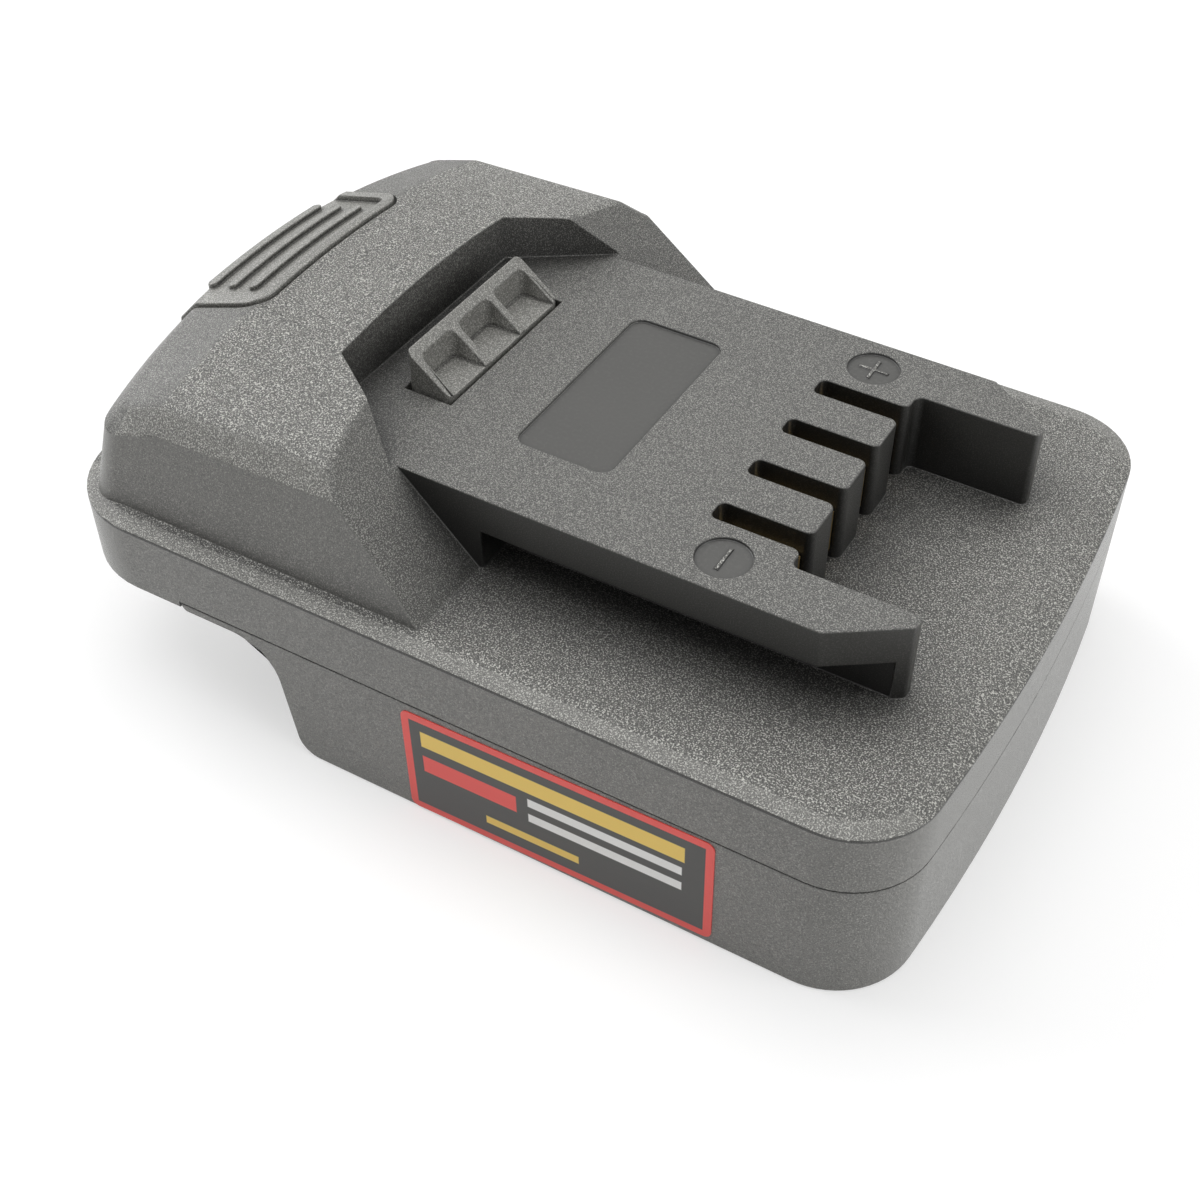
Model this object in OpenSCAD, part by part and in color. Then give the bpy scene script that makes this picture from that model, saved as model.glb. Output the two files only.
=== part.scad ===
// Slide-on battery adapter: tool rails and latch on top, a dock for another pack underneath.
// Millimetres. +X is the terminal end, +Z is up, origin at the middle of the underside.

/* [Housing] */
// Length of the housing along X
body_l = 111.6; // [108:0.2:118]
// Width of the housing across Y
body_w = 77; // [75:0.5:82]
// Height of the line where the two housings meet
parting_z = 17.3; // [16.8:0.1:18.2]
// Gap that shows along that line
parting_gap = 0.15; // [0.15:0.05:0.4]
// Height of the deck that the rails stand on
deck_z = 26.15; // [25.6:0.05:27.5]
// Fall of the deck's outer band towards the rim
rim_drop = 0.75; // [0.4:0.05:1.2]
// Width of the deck's outer band
rim_w = 3; // [2:0.1:4]
// Bow of the front end between its corners
front_bow = 2.5; // [1.5:0.1:3.5]
// Bow of the rear end between its corners
rear_bow = 5.2; // [4:0.1:6]
// Corner radius at the front end
front_r = 10; // [9:0.5:13]
// Corner radius at the rear end
rear_r = 12; // [10:0.5:12.5]
// Wall thickness of both housings
wall = 2.4; // [2:0.1:2.8]
// Height of the lower edge of the rear skirt
skirt_z = 16.5; // [16:0.1:16.8]
// Distance from the rear end to the step in the lower edge
skirt_l = 21.1; // [19:0.1:23]
// Clearance between pieces that seat in one another
fit = 0.15; // [0.1:0.05:0.25]
// Clearance round pieces that move
run = 0.5; // [0.4:0.05:0.7]

/* [Tool rails] */
// Width over the rail flanges
rail_w = 48; // [46:0.5:50]
// Height of the rail plate above the deck
rail_h = 10.15; // [9.5:0.05:11]
// Thickness of the rail flanges
flange_t = 4.9; // [4:0.1:5.4]
// Width of the web under the flanges
web_w = 38.4; // [37.6:0.2:39]
// Distance from the front end to the tips of the rail arms
tip_setback = 10.15; // [8:0.05:12]
// Length of the tapered stretch of each arm
arm_l = 7.95; // [6:0.05:10]
// Width over the arm tips
tip_w = 37.1; // [36.6:0.1:38]
// Width of the bay between the arms
bay_w = 33.3; // [33:0.1:33.8]
// Depth of the bay from the arm tips to the terminal fingers
bay_l = 14.75; // [13:0.05:17]
// Thickness of the foot that closes each rail groove
foot_t = 1.4; // [1.2:0.1:2.4]

/* [Terminal slots] */
// Distance between neighbouring slots
slot_pitch = 8.43; // [8.2:0.01:8.6]
// Width of a slot
slot_w = 2.75; // [2.6:0.05:3]
// Length of a slot
slot_l = 10.8; // [9:0.1:12]
// Radius of the polarity discs
disc_r = 3.1; // [2:0.1:3.2]
// Length of the strokes of the polarity marks
mark_l = 3.6; // [2:0.1:3.8]
// Depth of the polarity discs and of the smooth patch
recess = 0.35; // [0.2:0.05:0.6]
// Distance from the latch to the smooth patch
patch_gap = 9.8; // [8:0.1:12]
// Length of the smooth patch
patch_l = 12; // [8:0.1:14]
// Width of the smooth patch
patch_w = 27.6; // [20:0.1:30]

/* [Hump] */
// Width of the ledge round the hump
ledge_w = 2.8; // [2:0.1:3.5]
// Draft of the hump's side walls in degrees
draft = 12; // [8:0.5:14]
// Height of the hump's middle at its front wall
crown_z = 43.2; // [42.6:0.1:44]
// Radius of the hump's crown across Y
crown_r = 130; // [125:1:150]
// Rise of the hump's top towards the front in degrees
top_tilt = 1.8; // [1.2:0.1:2.4]
// Fall of the hump's rear slope in degrees
rear_tilt = 16.5; // [14:0.5:19]
// Distance from the rear end to the ridge over the rear slope
ridge_l = 16.5; // [15.5:0.1:17.5]
// Radius of the hump's rear corners
hump_r = 4.5; // [4:0.1:6]
// Height of the band round the hump's top
band_h = 1.85; // [1.4:0.05:2.2]
// Width of that band
band_w = 1.9; // [1.5:0.05:2.3]
// Distance from the rear end to the wall behind the catch gap
pocket_l = 30.8; // [30:0.1:32]
// Width of that wall
pocket_w = 33; // [31:0.5:34]
// Distance from the rear end to the foot of the front slopes
flare_l = 53; // [51.5:0.1:54]

/* [Latch] */
// Width of the latch hook
hook_w = 23.3; // [22:0.1:24.5]
// Depth of the latch hook along X
hook_l = 5.6; // [5:0.1:6]
// Height of the latch hook above the rail plate
hook_h = 5; // [4.4:0.1:5.2]
// Height of the hook's front edge above the rail plate
hook_lip = 0.45; // [0.3:0.05:0.8]
// Gap behind the hook that takes the tool's catch
catch_gap = 5.1; // [4.8:0.1:5.4]
// Thickness of the ribs between the hook's windows
hook_rib = 1.1; // [0.9:0.1:1.4]
// Travel of the latch
travel = 5; // [4:0.1:5.2]
// Width of the release button at the ridge
button_w = 28; // [26:0.5:29]
// Extra width of the button at the rear
button_flare = 3; // [2:0.1:3.4]
// Height of the button's raised edge over the rear slope
button_edge = 0.3; // [0.2:0.05:0.6]
// Width of the button's raised edge
button_edge_w = 1.4; // [1:0.1:2]
// Depth of the thumb pad below the rear slope
pad_depth = 0.5; // [0.3:0.1:0.8]
// Number of grip ribs on the thumb pad
pad_ribs = 3; // [2:1:4]

/* [Springs] */
// Mean radius of a latch spring
spring_r = 2.7; // [2.5:0.1:3.2]
// Wire diameter of a latch spring
spring_wire = 0.6; // [0.5:0.05:0.7]
// Number of turns of a latch spring
spring_turns = 5; // [4:1:6]
// Distance of each spring from the middle
spring_y = 7; // [6:0.1:7.4]

/* [Dock] */
// Width of the dock's mouth
dock_w = 50; // [46:0.5:54]
// Height of the dock's ceiling
dock_z = 13; // [12:0.1:13.4]
// Distance from the front end to the dock's front wall
dock_setback = 19.8; // [18:0.1:22]
// Height of the lips that carry the pack
lip_h = 4.6; // [4.2:0.1:5]
// Height of the grooves above the lips
groove_h = 5.2; // [4.8:0.1:5.6]
// Depth of the grooves
groove_d = 5.5; // [5:0.1:6]
// Distance from the rear end to the foot of the lower housing
foot_setback = 36.1; // [34:0.1:38]
// Lean of the lower housing's rear face in degrees
foot_lean = 9; // [5:0.5:11]
// Height of the underside of the rear tongue
tongue_z = 16.2; // [15.8:0.1:16.3]

/* [Terminals] */
// Thickness of the sheet that the tool clips are bent from
clip_t = 0.5; // [0.4:0.05:0.6]
// Height of the tool clips
clip_h = 5.5; // [4.5:0.1:5.8]
// Thickness of the battery blades
blade_t = 0.8; // [0.6:0.1:1]
// Height of the battery blades
blade_h = 6; // [5:0.1:6.2]
// Reach of the battery blades into the dock
blade_reach = 14; // [10:0.5:16]
// Distance between neighbouring battery blades
blade_pitch = 12; // [11:0.1:12.6]
// Diameter of the power wires
power_wire_d = 3; // [2:0.1:3.2]
// Diameter of the signal wires
signal_wire_d = 1.4; // [1:0.1:1.8]

/* [Fasteners] */
// Diameter of the housing screws
screw_d = 2.6; // [2.2:0.1:3]
// Diameter of the screw heads
head_d = 5; // [4.6:0.1:5.4]
// Height of the screw heads
head_h = 1.8; // [1.4:0.1:2]
// Diameter of the small inner screws
small_screw_d = 2; // [1.6:0.1:2.1]

/* [Label] */
// Length of the side label
label_l = 38.8; // [30:0.1:42]
// Height of the side label
label_h = 15.8; // [10:0.1:16]
// Thickness of the side label
label_t = 0.12; // [0.08:0.01:0.2]
// Distance of the label's middle from the middle of the housing
label_x = 15.4; // [12:0.1:18]
// Turn of the label in degrees
label_turn = 1; // [-2:0.1:2]

/* [Hidden] */
$fn = 48;
arc_fn = 360;
eps = 0.01;
big = 300;

plastic = "#2a2b2d";
inner_plastic = "#3a3b3d";
brass = "#c9a24a";
steel = "#9a9ca0";

// Places along X
front_x = body_l / 2;
rear_x = -body_l / 2;
tip_x = front_x - tip_setback;
kink_x = tip_x - arm_l;
finger_x = tip_x - bay_l;
slot_end_x = finger_x - slot_l;
disc_x = slot_end_x + slot_w + disc_r / 2;
finger_r = 1;
slot_r = 0.8;
disc_y = (1.5 * slot_pitch + slot_w / 2 + rail_w / 2) / 2;
flare_x = rear_x + flare_l;
pocket_x = rear_x + pocket_l;
ridge_x = rear_x + ridge_l;
skirt_x = rear_x + skirt_l;
hook_back_x = pocket_x + catch_gap;
hook_front_x = hook_back_x + hook_l;
patch_x = hook_front_x + patch_gap + patch_l / 2;
undercut_x = flare_x + run;

// Heights
plate_z = deck_z + rail_h;
rim_z = deck_z - rim_drop;
deck_under_z = deck_z - wall;
plate_under_z = plate_z - wall;
ridge_z = crown_z - (pocket_x - ridge_x) * tan(top_tilt);

// Latch carriage, which hangs under the rail plate
carriage_t = 3;
shoulder_t = 2.6;
stop_gap = 0.35;
carriage_z = plate_under_z - stop_gap - shoulder_t - carriage_t;
carriage_w = 21;
button_t = 3;
button_gap = 0.35;
skirt_rear_x = rear_x + ledge_w + (plate_z - deck_z) * tan(draft) + 1.5 * wall + run;
notch_z = ridge_z - (ridge_x - rear_x - ledge_w) * tan(rear_tilt) - button_t - travel - 2 * run;

// Lower housing
ceiling_t = 2.5;
ceiling_z = dock_z + ceiling_t;
rear_plate_t = 1.8;
rear_plate_z = skirt_z + rear_plate_t;
throat_r = 6;
foot_r = 3;
catch_l = 6;
catch_d = 1.6;
catch_setback = 3;
dock_x = front_x - dock_setback;
foot_x = rear_x + foot_setback;
spring_x = (pocket_x + ridge_x) / 2;

// Tool terminal block, under the rail plate behind the slots
carrier_l = 12;
carrier_x = slot_end_x - wall / 2 - carrier_l;
carrier_w = 2 * (1.5 * slot_pitch + slot_w / 2 + 2);
carrier_z = deck_z + 0.5;
carrier_top_z = plate_under_z - fit;
clip_gap = 0.25;
clip_w = slot_w - 2 * clip_gap;
clip_z = carrier_z + 0.9;
clip_tip_x = finger_x - 1.1;
clip_rear_x = carrier_x - 2.5;
tail_z = deck_under_z - 3.5;
boss_y = slot_pitch;
boss_x = carrier_x + carrier_l * 0.7;
boss_r = 2;
boss_h = 4;

// Battery terminal block, against the dock's front wall
block_l = 10;
block_side = 5;
block_w = 2 * (blade_pitch + block_side);
block_h = 9.5;
blade_z = dock_z - block_h + 1.5;
blade_tail_l = 2.2;
blade_tail_x = dock_x - 2 - blade_tail_l;
blade_tail_z = ceiling_z + 4;
block_screw_x = dock_x - block_l / 2;
block_screw_y = blade_pitch * 2 / 3;
blade_places = [-blade_pitch, -blade_pitch / 3, blade_pitch / 3, blade_pitch];

// Housing screws: two through the front corners, two through the rear plate
boss_d = 8;
front_inset = [boss_d / 2 + 2.4 * wall, boss_d + 1.9 * wall];
rear_inset = [boss_d / 2 + 3.4 * wall, boss_d + 2.6 * wall];
front_screw = [front_x - front_inset[0], body_w / 2 - front_inset[1]];
rear_screw = [rear_x + rear_inset[0], body_w / 2 - rear_inset[1]];
head_seat_z = 8;
screw_bite = 6;
cup_t = 1.4;
cup_z = skirt_z + head_h + run + cup_t;
small_head_h = 1.2;
thread_gap = 0.05;

// Height of the label's middle
label_z = (parting_z - parting_gap) / 2;

// A polygon's points with its corners rounded, from corners given as [x, y, radius]
function unit(v) = v / norm(v);
function flat(p) = [p[0], p[1]];
function corner_arc(before, at, after, r, steps) =
    let (a = unit(before - at), b = unit(after - at))
    let (half = acos(a * b) / 2)
    let (centre = at + unit(a + b) * r / sin(half))
    let (first = at + a * r / tan(half) - centre, last = at + b * r / tan(half) - centre)
    [for (i = [0:steps]) centre + r * unit(first * (1 - i / steps) + last * i / steps)];
function rounded(p, steps = 8) =
    [for (i = [0:len(p) - 1])
        let (before = flat(p[(i + len(p) - 1) % len(p)]), after = flat(p[(i + 1) % len(p)]))
        each (p[i][2] == 0 ? [flat(p[i])] : corner_arc(before, flat(p[i]), after, p[i][2], steps))];
function rounded_box(l, w, r) =
    rounded([[l / 2, w / 2, r], [-l / 2, w / 2, r], [-l / 2, -w / 2, r], [l / 2, -w / 2, r]]);

// Vertices and faces of a tube of rings along a path; every ring is turned by its own frame
function ring(c, u, v, r, sides) =
    [for (k = [0:sides - 1]) c + r * (cos(360 * k / sides) * u + sin(360 * k / sides) * v)];
function tube_faces(rings, sides) = concat(
    [[for (k = [0:sides - 1]) k]],
    [for (i = [0:rings - 2]) for (k = [0:sides - 1])
        each [[i * sides + k, (i + 1) * sides + k, (i + 1) * sides + (k + 1) % sides],
              [i * sides + k, (i + 1) * sides + (k + 1) % sides, i * sides + (k + 1) % sides]]],
    [[for (k = [sides - 1:-1:0]) (rings - 1) * sides + k]]);

// One bowed end of the housing's plan, from the middle to the end
module plan_end(length, bow, corner_r, inset) {
    half_w = body_w / 2 - inset;
    arc_r = body_w * body_w / (8 * bow) + bow / 2;
    arc_x = length - arc_r;
    r = max(corner_r - inset, 1.5);
    corner_y = half_w - r;
    corner_x = arc_x + sqrt(pow(arc_r - inset - r, 2) - corner_y * corner_y);
    a = atan2(corner_y, corner_x - arc_x);
    difference() {
        intersection() {
            translate([-1, -half_w]) square([length + 1, 2 * half_w]);
            translate([arc_x, 0]) circle(arc_r - inset, $fn = 2 * arc_fn);
        }
        for (side = [0, 1])
            mirror([0, side]) translate([corner_x, corner_y]) difference() {
                polygon([[0, 0], 3 * r * [cos(a), sin(a)], [3 * r, 3 * r], [0, 3 * r]]);
                circle(r);
            }
    }
}

// The housing's plan, drawn in by an inset
module plan(inset = 0, rear_corner = rear_r) {
    plan_end(front_x, front_bow, front_r, inset);
    mirror([1, 0]) plan_end(-rear_x, rear_bow, rear_corner, inset);
}

// A thin slice of the plan at a height
module slice(z, inset, rear_corner = rear_r) {
    translate([0, 0, z - eps]) linear_extrude(eps) plan(inset, rear_corner);
}

// Everything on one side of a plane through a point; the plane's normal leans from X by an angle
module behind_plane(at, angle) {
    translate(at) rotate([0, -angle, 0]) translate([-big, -big / 2, -big / 2]) cube(big);
}

// Everything under the hump's crown along a line that rises by an angle through the ridge
module under_crown(tilt, rise = 0) {
    r = crown_r + rise;
    translate([ridge_x, 0, ridge_z]) rotate([0, 90 - tilt, 0]) translate([crown_r, 0, -big / 2])
        cylinder(r = r, h = big, $fn = arc_fn);
}

// The hump between its walls, drawn in by an inset, and its top, lowered by a drop
module hump_core(inset, drop) {
    foot_in = ledge_w - wall * tan(draft);
    top_in = ledge_w + (crown_z - deck_z) * tan(draft);
    intersection() {
        hull() {
            slice(deck_under_z, foot_in + inset, foot_in + hump_r);
            slice(crown_z, top_in + inset, top_in + hump_r);
        }
        under_crown(top_tilt, -drop);
        under_crown(rear_tilt, -drop);
    }
}

// The hump's outer form, with a band round its top and slopes at its front, grown by a margin
module hump_form(grow = 0) {
    intersection() {
        hull() {
            hump_core(-grow, band_h - grow);
            hump_core(band_w - grow, -grow);
        }
        behind_plane([flare_x + grow * sqrt(2), 0, deck_z], 45);
    }
}

// Plan of the rails: straight flanges, arms that taper to the tips, and fingers between the slots
function slot_corners(y) =
    [[finger_x, y - slot_w / 2, finger_r], [slot_end_x, y - slot_w / 2, slot_r],
     [slot_end_x, y + slot_w / 2, slot_r], [finger_x, y + slot_w / 2, finger_r]];
module rail_plan() {
    tip_r = (tip_w - bay_w) / 6;
    polygon(rounded(concat(
        [[pocket_x, -rail_w / 2, 0], [kink_x, -rail_w / 2, 0], [tip_x, -tip_w / 2, tip_r],
         [tip_x, -bay_w / 2, tip_r], [finger_x, -bay_w / 2, finger_r]],
        [for (i = [-1.5:1.5]) each slot_corners(i * slot_pitch)],
        [[finger_x, bay_w / 2, finger_r], [tip_x, bay_w / 2, tip_r],
         [tip_x, tip_w / 2, tip_r], [kink_x, rail_w / 2, 0], [pocket_x, rail_w / 2, 0]])));
}

// Plan of the release button: wider at the rear, round at its two upper corners
module button_plan(grow = 0) {
    top_x = ridge_x + 1 + grow;
    end_x = rear_x - 1;
    top_w = button_w / 2 + grow;
    end_w = top_w + button_flare / 2;
    polygon(rounded([[end_x, -end_w, 0], [top_x, -top_w, 3 + grow],
                     [top_x, top_w, 3 + grow], [end_x, end_w, 0]]));
}

// Rails with the grooves under their flanges
module rails() {
    difference() {
        translate([0, 0, deck_z - eps]) linear_extrude(rail_h + eps) rail_plan();
        for (side = [0, 1])
            mirror([0, side, 0]) translate([undercut_x, web_w / 2, deck_z])
                cube([tip_x - foot_t - undercut_x, rail_w, rail_h - flange_t]);
    }
}

// Hollows inside the upper housing
module upper_hollows() {
    cavity_w = carrier_w + 2 * fit;
    cavity_x = pocket_x - wall;
    translate([0, 0, skirt_z - 1]) linear_extrude(deck_under_z - skirt_z + 1) plan(wall);
    translate([cavity_x, -cavity_w / 2, skirt_z])
        cube([carrier_x + carrier_l + fit - cavity_x, cavity_w, plate_under_z - skirt_z]);
    intersection() {
        hump_core(wall, wall);
        translate([rear_x, -pocket_w / 2 - 1.5, skirt_z])
            cube([cavity_x - rear_x, pocket_w + 3, big]);
    }
    for (i = [-1.5:1.5])
        translate([carrier_x + carrier_l, i * slot_pitch - slot_w / 2, deck_z])
            cube([slot_end_x + slot_w - carrier_x - carrier_l, slot_w, plate_under_z - deck_z]);
}

// Openings and recesses that show on top of the upper housing
module upper_openings() {
    pocket_plan = [[pocket_x, -pocket_w / 2], [pocket_x, pocket_w / 2],
                   [flare_x - rail_h - run, rail_w / 2 + run], [flare_x, rail_w / 2 + run],
                   [flare_x, -rail_w / 2 - run], [flare_x - rail_h - run, -rail_w / 2 - run]];
    translate([0, 0, plate_z]) linear_extrude(big) polygon(pocket_plan);
    translate([hook_back_x - button_gap, -hook_w / 2 - button_gap, plate_under_z - 1])
        cube([hook_l + 2 * button_gap, hook_w + 2 * button_gap, wall + 2]);
    translate([0, 0, notch_z]) linear_extrude(big) button_plan(button_gap);
    translate([patch_x, 0, plate_z - recess]) linear_extrude(1) polygon(rounded_box(patch_l, patch_w, 1.6));
    for (side = [-1, 1])
        translate([disc_x, side * disc_y, plate_z - recess]) cylinder(r = disc_r, h = 1);
}

// Plus and minus strokes that stand on the floors of the discs
module polarity_marks() {
    stroke = mark_l / 10;
    translate([disc_x, 0, plate_z - recess - eps]) linear_extrude(recess / 2 + eps) {
        for (side = [-1, 1])
            translate([-stroke / 2, side * disc_y - mark_l / 2]) square([stroke, mark_l]);
        translate([-mark_l / 2, disc_y - stroke / 2]) square([mark_l, stroke]);
    }
}

module upper_housing() {
    color(plastic) polarity_marks();
    color(plastic) difference() {
        union() {
            difference() {
                union() {
                    hull() {
                        translate([0, 0, skirt_z]) linear_extrude(rim_z - skirt_z) plan();
                        slice(deck_z, rim_w);
                    }
                    hump_form();
                    rails();
                }
                upper_hollows();
                translate([skirt_x, -big / 2, 0]) cube([big, big, parting_z]);
            }
            for (side = [-1, 1]) {
                translate([front_screw[0], side * front_screw[1], ceiling_z])
                    cylinder(d = boss_d, h = deck_under_z - ceiling_z + eps);
                translate([rear_screw[0], side * rear_screw[1], cup_z])
                    cylinder(d = boss_d, h = deck_under_z - cup_z + eps);
                translate([boss_x, side * boss_y, plate_under_z - boss_h])
                    cylinder(r = boss_r, h = boss_h + eps);
            }
        }
        upper_openings();
        for (side = [-1, 1]) {
            translate([front_screw[0], side * front_screw[1], 0])
                cylinder(d = screw_d, h = ceiling_z + screw_bite + run);
            translate([rear_screw[0], side * rear_screw[1], 0])
                cylinder(d = screw_d, h = cup_z + screw_bite + run);
            translate([boss_x, side * boss_y, deck_z])
                cylinder(d = small_screw_d, h = plate_under_z - deck_z - run);
        }
    }
}

// Side view of the lower housing: a deep dock, a leaning rear face and a thin tongue
module side_view() {
    top_z = parting_z - parting_gap;
    tongue_x = skirt_x + 2 * fit;
    polygon(rounded([[front_x + 1, 0, 0], [front_x + 1, top_z, 0], [tongue_x, top_z, 0],
                     [tongue_x, tongue_z, (top_z - tongue_z) * 0.8],
                     [foot_x - tongue_z * tan(foot_lean), tongue_z, throat_r], [foot_x, 0, foot_r]]));
}

// The dock under the lower housing, open at the rear and below
module dock() {
    reach = dock_x - rear_x;
    groove_w = dock_w + 2 * groove_d;
    translate([rear_x, -dock_w / 2, -1]) cube([reach, dock_w, dock_z + 1]);
    translate([rear_x, -groove_w / 2, lip_h]) cube([reach, groove_w, groove_h]);
    translate([foot_x + catch_setback, -hook_w / 2 - run, dock_z - eps])
        cube([catch_l, hook_w + 2 * run, catch_d]);
}

// Wells above the dock's ceiling and in the nose, which the upper housing closes
module lower_wells() {
    nose_w = 2 * (front_screw[1] - boss_d / 2 - 1);
    nose_x = dock_x + wall;
    translate([0, 0, ceiling_z]) linear_extrude(big) intersection() {
        plan(wall);
        translate([foot_x, -body_w / 2]) square([body_l, body_w]);
    }
    translate([nose_x, -nose_w / 2, wall]) cube([front_x - 1.6 * wall - nose_x, nose_w, ceiling_z]);
    for (y = blade_places)
        translate([blade_tail_x - fit, y - blade_t / 2 - fit, dock_z - 1])
            cube([blade_tail_l + 2 * fit, blade_t + 2 * fit, ceiling_t + 2]);
}

module lower_housing() {
    post_r = spring_r - spring_wire / 2 - 2 * fit;
    color(plastic) difference() {
        union() {
            intersection() {
                linear_extrude(parting_z) plan();
                rotate([90, 0, 0]) linear_extrude(body_w + 2, center = true) side_view();
            }
            translate([0, 0, skirt_z]) linear_extrude(rear_plate_t) intersection() {
                plan(wall + fit);
                translate([rear_x, -body_w / 2]) square([foot_setback, body_w]);
            }
            for (side = [-1, 1]) {
                translate([spring_x, side * spring_y, skirt_z])
                    cylinder(r = post_r, h = carriage_z - travel - run - skirt_z);
                translate([rear_screw[0], side * rear_screw[1], skirt_z])
                    cylinder(d = boss_d, h = cup_z - skirt_z);
            }
        }
        dock();
        lower_wells();
        for (side = [-1, 1]) {
            translate([front_screw[0], side * front_screw[1], -1]) {
                cylinder(d = screw_d + 2 * fit, h = big);
                cylinder(d = head_d + 2 * run, h = head_seat_z + 1);
            }
            translate([rear_screw[0], side * rear_screw[1], 0]) {
                cylinder(d = screw_d + 2 * fit, h = big);
                cylinder(d = head_d + 2 * run, h = cup_z - cup_t);
            }
            translate([block_screw_x, side * block_screw_y, dock_z - 1])
                cylinder(d = small_screw_d + 2 * fit, h = big);
        }
    }
}

// The thumb pad's plan, inside the button's raised edge and open at the rear
module pad_plan() {
    intersection() {
        translate([-button_edge_w, 0]) button_plan(0);
        button_plan(-button_edge_w);
    }
}

// Release button on the hump's rear slope, with its grip ribs
module button() {
    rear_in = ledge_w + (plate_z - deck_z) * tan(draft);
    rib_pitch = (ridge_x - rear_x - rear_in) / (pad_ribs + 0.6);
    rib_w = 1.3;
    rib_gap = 2;
    rib_l = button_w - 2 * button_edge_w - 2 * rib_gap;
    difference() {
        intersection() {
            linear_extrude(big) button_plan();
            hump_form(button_edge);
        }
        under_crown(rear_tilt, button_edge - button_t);
        difference() {
            linear_extrude(big) pad_plan();
            under_crown(rear_tilt, -pad_depth);
        }
    }
    intersection() {
        linear_extrude(big)
            for (i = [1:pad_ribs])
                translate([ridge_x - i * rib_pitch, 0])
                    polygon(rounded_box(rib_w, rib_l, rib_w / 2 - eps));
        difference() {
            under_crown(rear_tilt, button_edge / 4);
            under_crown(rear_tilt, -pad_depth - 1);
        }
    }
}

// Hook that holds the tool's catch: a wedge with three open windows
module hook() {
    window_w = (hook_w - 4 * hook_rib) / 3;
    floor_z = plate_z + hook_lip / 2;
    corner_r = 0.8;
    difference() {
        intersection() {
            rotate([90, 0, 0]) linear_extrude(hook_w, center = true)
                polygon([[hook_back_x, carriage_z], [hook_back_x, plate_z + hook_h],
                         [hook_front_x, plate_z + hook_lip], [hook_front_x, carriage_z]]);
            translate([(hook_back_x + hook_front_x) / 2, 0, 0]) linear_extrude(big)
                polygon(rounded_box(hook_l, hook_w, corner_r));
        }
        for (i = [-1:1])
            translate([hook_back_x + hook_rib + hook_l / 2, i * (window_w + hook_rib), floor_z])
                linear_extrude(hook_h) polygon(rounded_box(hook_l, window_w, corner_r));
    }
}

// Carriage that joins the button to the hook, with shoulders that stop it under the rail plate
module carriage() {
    skirt_t = 1.6;
    cheek_t = 1.6;
    overhang = 1.5;
    bite = 0.5;
    shoulder_w = carrier_w - 2 * run - 2;
    rise = big / 4;
    translate([skirt_rear_x, -carriage_w / 2, carriage_z])
        cube([hook_front_x - skirt_rear_x, carriage_w, carriage_t]);
    translate([hook_back_x - overhang, -shoulder_w / 2, carriage_z + carriage_t - eps])
        cube([hook_l + 2 * overhang, shoulder_w, shoulder_t + eps]);
    intersection() {
        union() {
            translate([skirt_rear_x, -button_w / 2 + run, rear_plate_z + travel + run])
                cube([skirt_t, button_w - 2 * run, rise]);
            for (side = [0, 1])
                mirror([0, side, 0]) translate([skirt_rear_x, carriage_w / 2 - cheek_t, carriage_z])
                    cube([ridge_x - skirt_rear_x, cheek_t, rise]);
        }
        under_crown(rear_tilt, button_edge - button_t + bite);
    }
}

module release_latch() {
    color(plastic) {
        button();
        hook();
        carriage();
    }
}

// Coil spring between the rear plate and the latch carriage, as one swept helix
module coil_spring(y) {
    steps = 8;
    sides = 6;
    rise = carriage_z - rear_plate_z - spring_wire;
    count = steps * spring_turns + 1;
    rings = [for (i = [0:count - 1])
        let (a = 360 * i / steps, out = [cos(a), sin(a), 0])
        let (along = unit([-sin(a), cos(a), rise / spring_turns / (2 * PI * spring_r)]))
        let (centre = spring_r * out + [0, 0, spring_wire / 2 + rise * i / (count - 1)])
        each ring(centre, out, cross(out, along), spring_wire / 2, sides)];
    echo(least_spring_gap = rise / spring_turns - spring_wire);
    color(steel) translate([spring_x, y, rear_plate_z]) polyhedron(rings, tube_faces(count, sides));
}

module latch_spring_left() { coil_spring(spring_y); }
module latch_spring_right() { coil_spring(-spring_y); }

// Insulating block that holds the tool clips behind their slots
module clip_carrier() {
    slack = 0.05;
    color(inner_plastic) difference() {
        translate([carrier_x, -carrier_w / 2, carrier_z])
            cube([carrier_l, carrier_w, carrier_top_z - carrier_z]);
        for (i = [-1.5:1.5])
            translate([carrier_x - 1, i * slot_pitch - clip_w / 2 - slack, clip_z - slack])
                cube([carrier_l + 2, clip_w + 2 * slack, clip_h + 2 * slack]);
        for (side = [-1, 1])
            translate([boss_x, side * boss_y, carrier_z - 1]) {
                cylinder(d = small_screw_d + 2 * fit, h = big);
                translate([0, 0, plate_under_z - boss_h - carrier_z + 1])
                    cylinder(r = boss_r + fit, h = big);
            }
    }
}

// Tool clip: two leaves that grip the tool's blade, a bridge behind them and a tail for the wire
module tool_clip(place) {
    leaf_l = clip_tip_x - clip_rear_x;
    color(brass) translate([clip_rear_x, place * slot_pitch - clip_w / 2, 0]) {
        for (y = [0, clip_w - clip_t])
            translate([0, y, clip_z]) cube([leaf_l, clip_t, clip_h]);
        translate([0, 0, tail_z]) cube([clip_t, clip_w, clip_z + clip_h - tail_z]);
    }
}

module positive_tool_clip() { tool_clip(1.5); }
module signal_tool_clip_left() { tool_clip(0.5); }
module signal_tool_clip_right() { tool_clip(-0.5); }
module negative_tool_clip() { tool_clip(-1.5); }

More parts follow.
